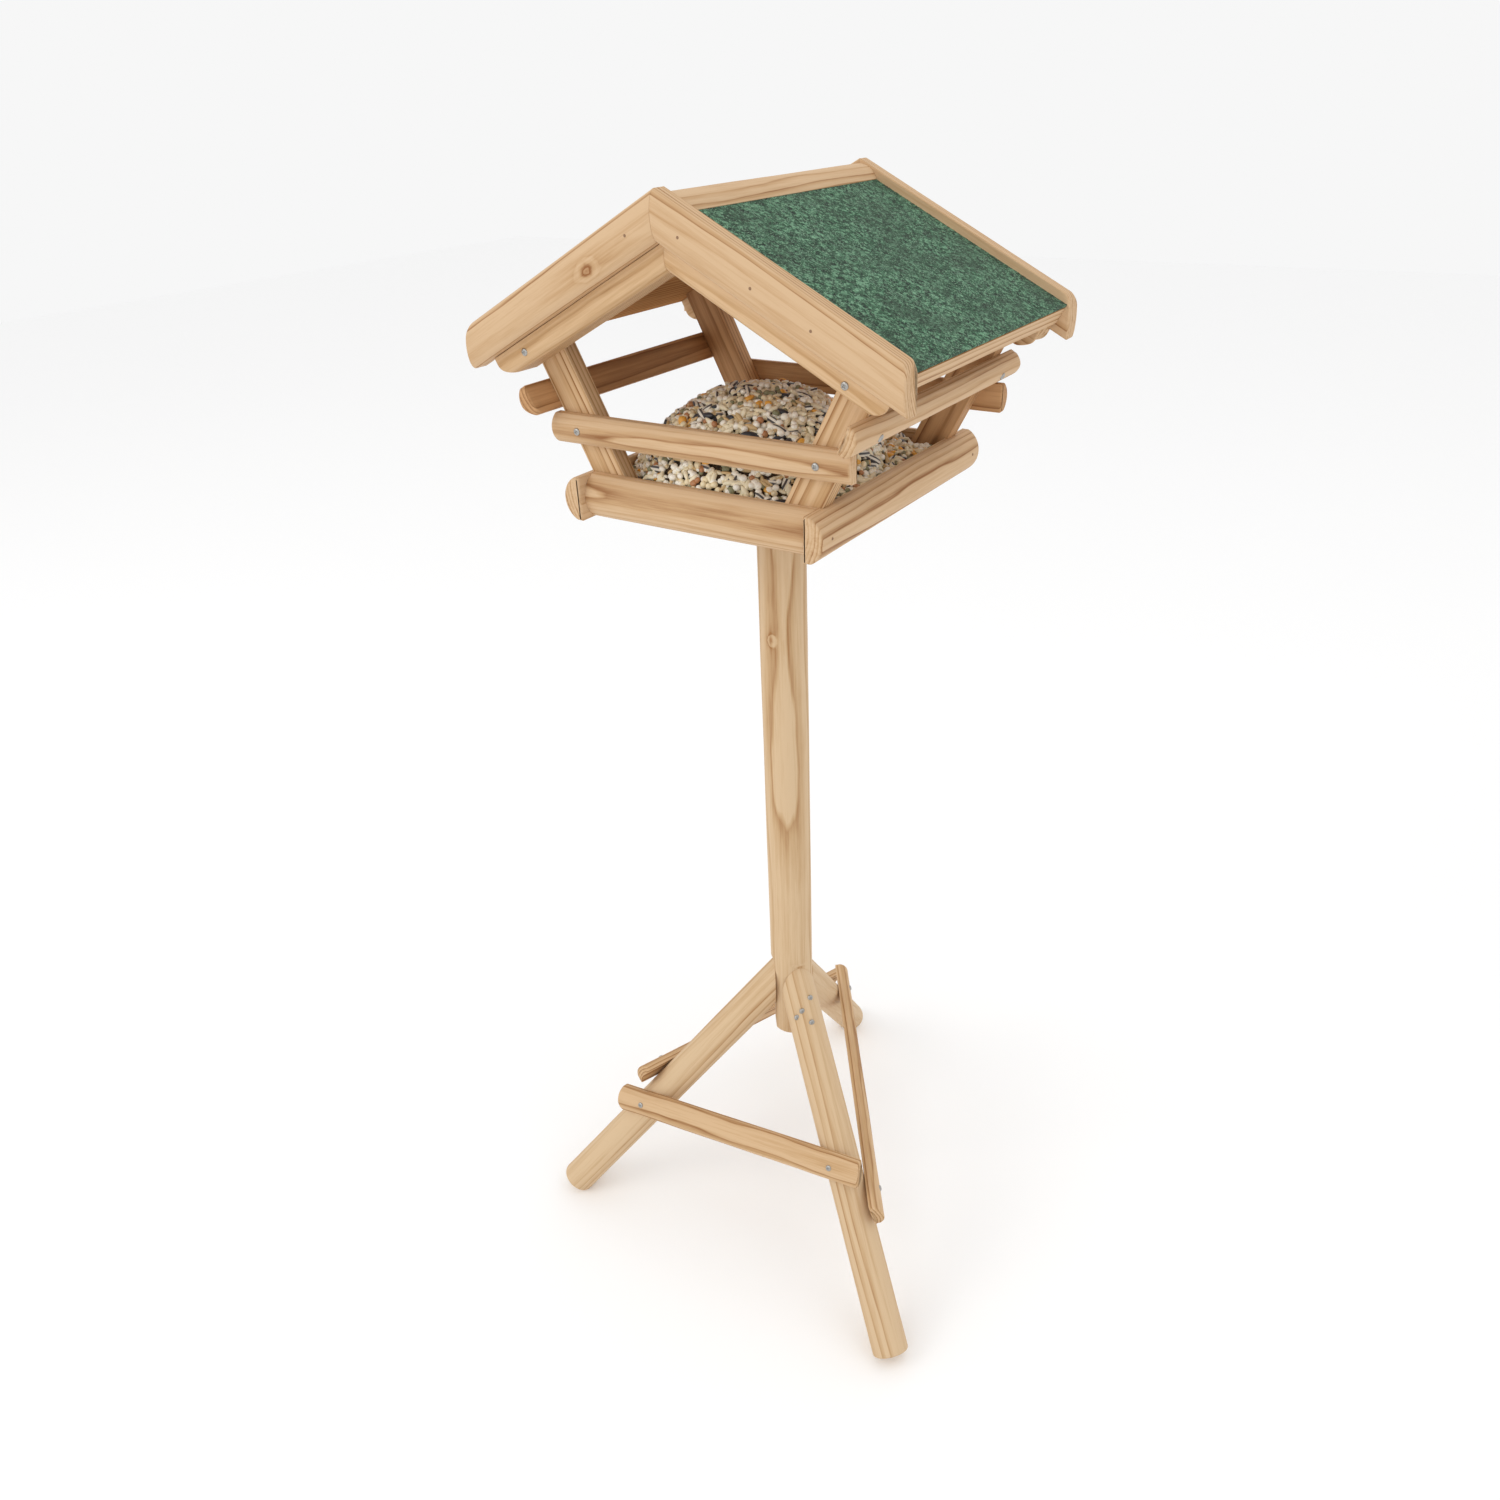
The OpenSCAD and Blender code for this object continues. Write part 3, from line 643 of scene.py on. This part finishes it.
# The floor board and the pole plate are pine darkened as painted shade.
loft("w_floor", "floor_board", vec(0, 0, FLOOR_TOP - FLOOR_T), Y, X, Z,
     plank(-BORDER_X, BORDER_X, 0, FLOOR_T, 6), (vec(0, -FACE_Y, 0), Y), (vec(0, FACE_Y, 0), Y), SHADE_PAINTED_PINE,
     ease=(0.2, 0.2), rough=0.1, grain=(30.0, -50.0))
loft("w_plate", "pole_plate", vec(0, 0, TRAY_Z), Y, X, Z, plank(-PLATE_HALF, PLATE_HALF, 0, PLATE_T, 4),
     (vec(0, -PLATE_HALF, 0), Y), (vec(0, PLATE_HALF, 0), Y), SHADE_PAINTED_PINE, ease=(0.6, 0.6), rough=0.2,
     grain=(-20.0, -34.0))

# ---------------------------------------------------------------- pole and legs


def leg_dir(az):
    a = math.radians(az)
    return vec(math.cos(a), math.sin(a), 0)


def leg_way(az):
    return leg_dir(az) * math.cos(LEG_TILT) - Z * math.sin(LEG_TILT)


def leg_point(az, z):
    """Where a leg's axis is at height z."""
    r = FLAT_R + (LEG_JOINT_Z - z) / math.tan(LEG_TILT)
    return leg_dir(az) * r + Z * z


def pole_flats(x, ring):
    """Along the joint with the legs, the pole is planed flat on three sides."""
    d = np.zeros(len(ring))
    flat = FLAT_R - 0.1
    for az in LEG_AZ.values():
        reach = ring @ leg_dir(az)[:2]
        planed = (x < FLATS_TOP_Z - POLE_FOOT_Z) & (reach > flat)
        d = np.minimum(d, np.where(planed, flat - reach, 0))
    return d


def leg(name, az):
    """A round leg that is cut to sit on the pole's flat, and cut off level at the ground."""
    d, way = leg_dir(az), leg_way(az)
    sideways = np.cross(Z, d)
    loft(f"w_leg_{name}", f"leg_{name}", d * FLAT_R + Z * LEG_JOINT_Z, way, sideways,
         np.cross(way, sideways), circle(LEG_R, 72), (d * FLAT_R, d), (leg_point(az, FOOT_Z), way), LOG,
         ease=(1.2, 2.6), rough=0.8, grain=(8.0, 10.0), log=True, wander=0.03)


def brace_axes(low, high):
    """A brace's start, its way, its width and its outward way, and the span between its screws."""
    p, q = leg_point(LEG_AZ[low], BRACE_LOW_Z), leg_point(LEG_AZ[high], BRACE_HIGH_Z)
    span = float(np.linalg.norm(q - p))
    x = (q - p) / span
    out = np.cross(leg_way(LEG_AZ[low]), leg_way(LEG_AZ[high]))
    out /= np.linalg.norm(out)
    return p, x, np.cross(x, out), out, span


def brace(name, low, high):
    p, x, width, out, span = brace_axes(low, high)
    rounded = tongue(BRACE_HALF, 3.0)
    loft(f"w_brace_{name}", f"brace_{name}", p + out * BRACE_OUT, x, width, out,
         crowned(-BRACE_HALF, BRACE_HALF, LATH_T, LATH_CROWN), (p - x * BRACE_OVERHANG, x),
         (p + x * (span + BRACE_OVERHANG), x), STRIPED, ease=(2.0, 2.0), rough=0.9, grain=(4.0, -26.0),
         wander=0.06, trim0=rounded, trim1=rounded)


loft("w_pole", "pole", vec(0, 0, POLE_FOOT_Z), Z, X, Y, circle(POLE_R, 96), (vec(0, 0, POLE_FOOT_Z), Z),
     (vec(0, 0, TRAY_Z), Z), LOG, ease=(4.0, 0.4), rough=0.6, grain=(-9.0, 13.0), log=True,
     wander=0.035, bulge=pole_flats, knot=(548, 0, -25, 0.55))
for name, az in LEG_AZ.items():
    leg(name, az)
for name, (low, high) in BRACES.items():
    brace(name, low, high)

# ---------------------------------------------------------------- fixings


def groove(across, along):
    """How deep one arm of a cross recess is at a place on the head, from 0 to 1."""
    return max(0, 1 - (abs(across) / 0.5) ** 4) * (abs(along) < 1.9)


def screw_mesh(shank):
    """A pan head with a cross recess, on a shank that runs down into the wood."""
    rings, n, head_r, shank_r = 15, 40, 3.5, 1.8
    verts = []
    for r in np.linspace(0, head_r, rings):
        dome = -1 + 2.2 * (1 - (r / 3.75) ** 2.6) ** 0.5
        for x, y, _ in revolved([(r, 0)], n):
            recess = min(1.0, groove(x, y) + groove(y, x)) * 0.95 * (1 - 0.25 * r / 1.9)
            verts.append((x, y, dome - recess))
    verts += revolved([(head_r, -1.0), (shank_r, -1.0), (shank_r, -shank)], n)
    rows = rings + 3
    tip = tuple(range((rows - 1) * n, rows * n))[::-1]
    return np.array(verts), tube(rows, n) + [tip]


def nail_mesh(shank):
    """A small lost head on a thin shank."""
    n = 16
    rows = ((0.0, 0.12), (0.8, 0.12), (1.2, 0.0), (1.3, -0.2), (1.3, -0.6), (0.9, -0.6), (0.9, -shank))
    tip = tuple(range((len(rows) - 1) * n, len(rows) * n))[::-1]
    return np.array(revolved(rows, n)), tube(len(rows), n) + [tip]


def fixings(node, places, build, material):
    """places: a point on the surface, the way out of it, and the length."""
    verts, faces, count = [], [], 0
    for i, (p, out, length) in enumerate(places):
        v, f = build(length)
        out = out / np.linalg.norm(out)
        a = np.cross(Z if abs(out[2]) < 0.9 else X, out)
        a /= np.linalg.norm(a)
        b = np.cross(out, a)
        turn = 1.7 * i + 0.4
        a, b = a * math.cos(turn) + b * math.sin(turn), b * math.cos(turn) - a * math.sin(turn)
        verts.append(p + v[:, :1] * a + v[:, 1:2] * b + v[:, 2:] * out)
        faces += [tuple(k + count for k in q) for q in f]
        count += len(v)
    make(f"w_{node}", np.vstack(verts), faces, material, smooth=50, nodes=(node,))


def frame_fixings():
    """The screws and nails of the four corners."""
    barge, rafters, rails, borders = [], [], [], []
    nail_l, rafter_screw_l, end_screw_l, side_screw_l = 40, 46, 26, 30
    post = vec(POST_X, 0, FLOOR_TOP)
    for end, hand in CORNERS:
        left = hand == "left"
        at = mirrored(left, end == "back")
        for u in (39,) if left else (39, 113, 173):
            barge.append((at(vec(0, -BARGE_Y - BARGE_T, APEX) + DOWN * u + INTO * 18.5), at(-Y), nail_l))
        post_top = post + UP * (POST_L - 17.5)
        rafters.append((at(post_top - Y * (FACE_Y + RAFTER_T)), at(-Y), rafter_screw_l))
        rail_x = POST_X + (RAIL_Z - FLOOR_TOP) * math.tan(PITCH)
        rails.append((at(vec(rail_x, -FACE_Y - LATH_T, RAIL_Z)), at(-Y), end_screw_l))
        side_rail = post + DOWN * (POST_W / 2 + LATH_T) + UP * SIDE_RAIL_UP
        rails.append((at(side_rail - Y * (FACE_Y - POST_T / 2)), at(DOWN), side_screw_l))
        border = vec(BORDER_X + BORDER_T, -FACE_Y - 10, BORDER_TOP - BORDER_W / 2)
        borders.append((at(border), at(X), nail_l))
    fixings("barge_nails", barge, nail_mesh, NAIL)
    fixings("rafter_screws", rafters, screw_mesh, ZINC)
    fixings("rail_screws", rails, screw_mesh, ZINC)
    fixings("border_nails", borders, nail_mesh, NAIL)


def ridge_fixings():
    """Nails along the batten, the two middle ones into the left slope."""
    ridge = []
    for y in (-130, -45, 45, 130):
        at = mirrored(abs(y) < 90)
        ridge.append((at(vec(0, y, APEX) + DOWN * 12 + INTO * 3.2), at(UP), 22))
    fixings("ridge_nails", ridge, nail_mesh, NAIL)


def floor_fixings():
    """Screws down through the floor board into the battens and into the plate."""
    places = [(x, y) for x in (-60, 60) for y in (-116, 116)]
    places += [(x, y) for x in (-44, 44) for y in (-44, 44)]
    fixings("floor_screws", [(vec(x, y, FLOOR_TOP - 1.6), Z, 18) for x, y in places], screw_mesh, ZINC)


def leg_fixings():
    """Four screws through the top of the right leg, and two beside each of the others."""
    d, way = leg_dir(LEG_AZ["right"]), leg_way(LEG_AZ["right"])
    up = d * math.sin(LEG_TILT) + Z * math.cos(LEG_TILT)
    sideways = np.cross(up, way)
    slanted = up * math.cos(TOP_SLANT) + way * math.sin(TOP_SLANT)
    joint = d * FLAT_R + Z * LEG_JOINT_Z
    legs = []
    for u, v, length in ((13, 6, 40), (26, -8, 48), (32, -15, 49), (42, 0, 60)):
        on_leg = joint + way * u + sideways * v + up * math.sqrt(LEG_R**2 - v * v)
        legs.append((on_leg, slanted, length))
    for name, slant in (("left", -35), ("back", 35)):
        d, out = leg_dir(LEG_AZ[name]), leg_dir(LEG_AZ[name] + slant)
        for z, r in ((344, 29), (328, 35)):
            legs.append((d * 12 + out * r + Z * z, out, r - 2))
    fixings("leg_screws", legs, screw_mesh, ZINC)


def brace_fixings():
    """A screw at each end of each brace."""
    braces = []
    for low, high in BRACES.values():
        p, x, _, out, span = brace_axes(low, high)
        braces += [(p + out * (BRACE_OUT + LATH_T) + x * u, out, 40) for u in (0, span)]
    fixings("brace_screws", braces, screw_mesh, ZINC)


frame_fixings()
ridge_fixings()
floor_fixings()
leg_fixings()
brace_fixings()
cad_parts["pole_screw"].data.materials.clear()
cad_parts["pole_screw"].data.materials.append(ZINC)

# ---------------------------------------------------------------- seed


def in_post(p, grow):
    """Whether a point lies in or near one of the four posts."""
    across = (abs(p[0]) - POST_X) * CP - (p[2] - FLOOR_TOP) * SP
    return abs(across) < POST_W / 2 + grow and FACE_Y - POST_T - grow < abs(p[1])


def heap_z(x, y):
    """The heap's top: part of a ball, steep at the side borders, on a level bed."""
    inside = np.maximum(HEAP_R**2 - (x + HEAP_LEFT) ** 2 - (y + HEAP_FORWARD) ** 2, 0)
    side_limit = HEAP_SIDE_Z + HEAP_SIDE_SLOPE * (BORDER_X - np.abs(x))
    return np.maximum(BED_Z, np.minimum(HEAP_TOP - HEAP_R + np.sqrt(inside), side_limit))


lumps = waves(91, 0.16, 0.16, 9)


def seed_bed():
    """A dark body just under the loose seeds, coloured as painted shade in the gaps between them."""
    nx, ny = 84, 90
    x = np.linspace(-BORDER_X + 0.4, BORDER_X - 0.4, nx)
    y = np.linspace(-FACE_Y + 0.4, FACE_Y - 0.4, ny)
    xx, yy = np.meshgrid(x, y, indexing="ij")
    top = heap_z(xx, yy) - 6.5 + 1.4 * lumps(xx, yy)
    verts = np.vstack([np.c_[xx.ravel(), yy.ravel(), top.ravel()],
                       np.c_[xx.ravel(), yy.ravel(), np.full(nx * ny, FLOOR_TOP + 0.2)]])
    # The bed's mottled dark browns are painted shade between the seeds.
    g = Graph("seed_gap_painted_shade")
    gap_shade_noise = g.noise(g.node("ShaderNodeTexCoord", "Object"), 420.0, 4.0, 0.7)
    color = g.ramp(gap_shade_noise, [(0.35, rgb(34, 24, 16)), (0.52, rgb(70, 52, 34)), (0.66, rgb(120, 96, 66))])
    make("w_seed_bed", verts, slab(nx, ny), g.finish(color, 0.9, gap_shade_noise, 0.001, 0.8), smooth=60,
         nodes=("seed_mix",))


# A seed's shape: points around it, points along it, and half its length, width and thickness.
SHAPES = {
    "round": (10, 7, (3.3, 3.15, 2.8)),
    "kernel": (8, 9, (6.4, 3.0, 2.3)),
    "husk": (7, 8, (6.0, 2.1, 1.8)),
    "sunflower": (9, 9, (8.2, 3.7, 2.3)),
    "maize": (8, 7, (5.0, 4.2, 2.6)),
}

# Each kind of seed: its shape, its share of the mix, its material's name, colour and roughness.
KINDS = {
    "cream": ("round", 0.32, "seed_cream", rgb(255, 250, 236), 0.35),
    "pale": ("round", 0.12, "seed_pale", rgb(244, 228, 190), 0.4),
    "kernel": ("kernel", 0.26, "seed_kernel", rgb(246, 234, 202), 0.4),
    "husk": ("husk", 0.09, "seed_husk", rgb(216, 186, 136), 0.5),
    "milo": ("round", 0.04, "seed_milo", rgb(186, 130, 88), 0.45),
    "green": ("round", 0.045, "seed_green", rgb(142, 140, 108), 0.5),
    "black": ("sunflower", 0.035, "seed_black", rgb(62, 64, 70), 0.35),
    "stripe": ("sunflower", 0.06, "seed_striped", None, 0.5),
    "maize": ("maize", 0.03, "seed_maize", rgb(240, 178, 80), 0.4),
}
SMALL_KINDS = ("cream", "pale", "milo", "green", "pale")


def grain_mesh(shape):
    """One seed about its own centre: its long axis is X and its thin axis is Z."""
    around, along, size = SHAPES[shape]
    pts = [(size[0], 0, 0)]
    for i in range(1, along):
        th = math.pi * i / along
        for j in range(around):
            ph = 2 * math.pi * j / around
            x, y, z = math.cos(th), math.sin(th) * math.cos(ph), math.sin(th) * math.sin(ph)
            if shape in ("sunflower", "kernel"):
                k = 1 - 0.35 * (x > 0) * x
                y, z = y * k, z * k
            if shape == "maize":
                k = 1.12 - 0.45 * (x + 1) / 2
                y, z = y * k * 1.1, z * k
                x = math.copysign(abs(x) ** 0.7, x)
            pts.append((x * size[0], y * size[1], z * size[2]))
    pts.append((-size[0], 0, 0))
    last = len(pts) - 1
    end_row = 1 + (along - 2) * around
    turns = [(j, (j + 1) % around) for j in range(around)]
    faces = [(1 + j, 1 + k, 0) for j, k in turns] + tube(along - 1, around, first=1)
    faces += [(end_row + k, end_row + j, last) for j, k in turns]
    return np.array(pts), faces


def striped_material(name, roughness):
    """Sunflower hulls with dark and pale stripes along them."""
    g = Graph(name)
    across = g.node("ShaderNodeSeparateXYZ", "Y", Vector=g.attribute("grain"))
    wave = g.math("SINE", g.math("MULTIPLY", across, 1500.0))
    color = g.ramp(g.math("MULTIPLY_ADD", wave, 0.5, 0.5),
                   [(0.34, rgb(82, 80, 80)), (0.56, rgb(240, 234, 220))])
    return g.finish(color, roughness)


def heap_normal(x, y):
    e = 2.0
    return vec(-(heap_z(x + e, y) - heap_z(x - e, y)) / (2 * e),
               -(heap_z(x, y + e) - heap_z(x, y - e)) / (2 * e), 1.0)


def scatter():
    """Loose seeds in two layers over the bed, and in four where the heap's side is steep."""
    g = np.random.default_rng(12)
    names = list(KINDS)
    share = np.array([KINDS[k][1] for k in names])
    share /= share.sum()
    shapes = {k: grain_mesh(KINDS[k][0]) for k in names}
    store = {k: {"verts": [], "own": [], "faces": [], "count": 0} for k in names}
    cell, room, small_room = 5.2, 8.4, 3.5
    xs = np.arange(-BORDER_X + 4.0, BORDER_X - 3.8, cell)
    ys = np.arange(-FACE_Y + 4.0, FACE_Y - 3.8, cell)
    for layer, x0, y0 in itertools.product(range(4), xs, ys):
        x, y = x0 + g.uniform(-2.7, 2.7), y0 + g.uniform(-2.7, 2.7)
        if layer and g.uniform() < 0.16:
            continue
        if layer > 1 and heap_z(x + 2, y) - heap_z(x - 2, y) < 4.0:
            continue
        kind = names[int(g.choice(len(names), p=share))]
        at_edge = abs(x) > BORDER_X - room or abs(y) > FACE_Y - room
        if at_edge:
            kind = SMALL_KINDS[int(g.integers(len(SMALL_KINDS)))]
            x = float(np.clip(x, -BORDER_X + small_room, BORDER_X - small_room))
            y = float(np.clip(y, -FACE_Y + small_room, FACE_Y - small_room))
        z = float(heap_z(x, y)) - 5.0 + 1.4 * float(lumps(x, y))
        z += layer * 3.2 if layer < 2 else 2.0 - 2.6 * layer
        z += 0.6 * layer * (not at_edge) + g.uniform(-1.6, 1.6)
        if in_post((x, y, z), 3.2 if at_edge else 7.2):
            continue
        up = heap_normal(x, y) + g.normal(0, 0.38, 3)
        up /= np.linalg.norm(up)
        turn = g.uniform(0, 6.28)
        a = vec(math.cos(turn), math.sin(turn), 0)
        a = a - up * (a @ up)
        a /= np.linalg.norm(a)
        b = np.cross(up, a)
        v, f = shapes[kind]
        own = v * (g.uniform(0.78, 1.18) * np.array([1, g.uniform(0.85, 1.1), g.uniform(0.85, 1.1)]))
        kept = store[kind]
        kept["verts"].append(vec(x, y, z) + own[:, :1] * a + own[:, 1:2] * b + own[:, 2:] * up)
        kept["own"].append(own)
        kept["faces"] += [tuple(k + kept["count"] for k in face) for face in f]
        kept["count"] += len(v)
    for kind, kept in store.items():
        _, _, name, color, roughness = KINDS[kind]
        material = plain(name, color, roughness, speck=0.2) if color else striped_material(name, roughness)
        make(f"w_seed_{kind}", np.vstack(kept["verts"]), kept["faces"], material, smooth=0,
             attrs={"grain": np.vstack(kept["own"])})


seed_bed()
scatter()

# ---------------------------------------------------------------- stage, light, camera


def stage_floor():
    n, size = 24, 9.0
    steps = [-size + 2 * size * i / n for i in range(n + 1)]
    mesh = bpy.data.meshes.new("stage_floor")
    mesh.from_pydata([(x, y, -0.0005) for x in steps for y in steps], [], grid(n + 1, n + 1))
    g = Graph("stage_pale")
    cloudy = g.noise(g.node("ShaderNodeTexCoord", "Object"), 3.0, 2.0)
    color = g.mix(g.math("MULTIPLY", cloudy, 0.05), rgb(253, 253, 253), rgb(247, 247, 247))
    mesh.materials.append(g.finish(color, 0.95))
    o = bpy.data.objects.new("stage_floor", mesh)
    bpy.context.scene.collection.objects.link(o)


def studio_world():
    world = bpy.data.worlds.new("studio")
    bpy.context.scene.world = world
    world.use_nodes = True
    background = world.node_tree.nodes["Background"]
    background.inputs["Color"].default_value = (1.0, 1.0, 1.0, 1)
    background.inputs["Strength"].default_value = 0.93


def area(name, at, aim, size, power, color=(1, 1, 1)):
    """A square lamp at a place in metres, turned to aim."""
    data = bpy.data.lights.new(name, "AREA")
    data.shape = "SQUARE"
    data.size = size
    data.energy = power
    data.color = color
    o = bpy.data.objects.new(name, data)
    bpy.context.scene.collection.objects.link(o)
    o.location = Vector(at)
    o.rotation_mode = "QUATERNION"
    o.rotation_quaternion = (Vector(aim) - Vector(at)).to_track_quat("-Z", "Y")


def camera(place, yaw, tilt, roll, lens):
    """Looks to the back, turned left by yaw, down by tilt and rolled, all in radians."""
    forward = vec(-math.sin(yaw) * math.cos(tilt), math.cos(yaw) * math.cos(tilt), -math.sin(tilt))
    right = vec(math.cos(yaw), math.sin(yaw), 0)
    up = np.cross(right, forward)
    right, up = (right * math.cos(roll) + up * math.sin(roll),
                 up * math.cos(roll) - right * math.sin(roll))
    data = bpy.data.cameras.new("camera")
    data.lens, data.sensor_width = lens, 36.0
    data.clip_end = 60.0
    cam = bpy.data.objects.new("camera", data)
    bpy.context.scene.collection.objects.link(cam)
    turned = Matrix([Vector(v) for v in (right, up, -forward)]).transposed().to_4x4()
    cam.matrix_world = Matrix.Translation(place) @ turned
    bpy.context.scene.camera = cam


stage_floor()
studio_world()
area("key", (-2.2, -3.0, 3.4), (0, 0, 0.8), 2.2, 34, (1.0, 0.985, 0.96))
area("fill", (0.5, -2.3, 1.7), (0, 0, 1.03), 0.5, 3.2)
area("top", (1.6, 0.6, 4.2), (0, 0, 0.8), 2.6, 14)
bpy.context.scene.view_settings.view_transform = "Standard"
camera((0.61819, -0.96808, 1.3292), yaw=0.6041, tilt=0.5166, roll=-0.042, lens=28.135)
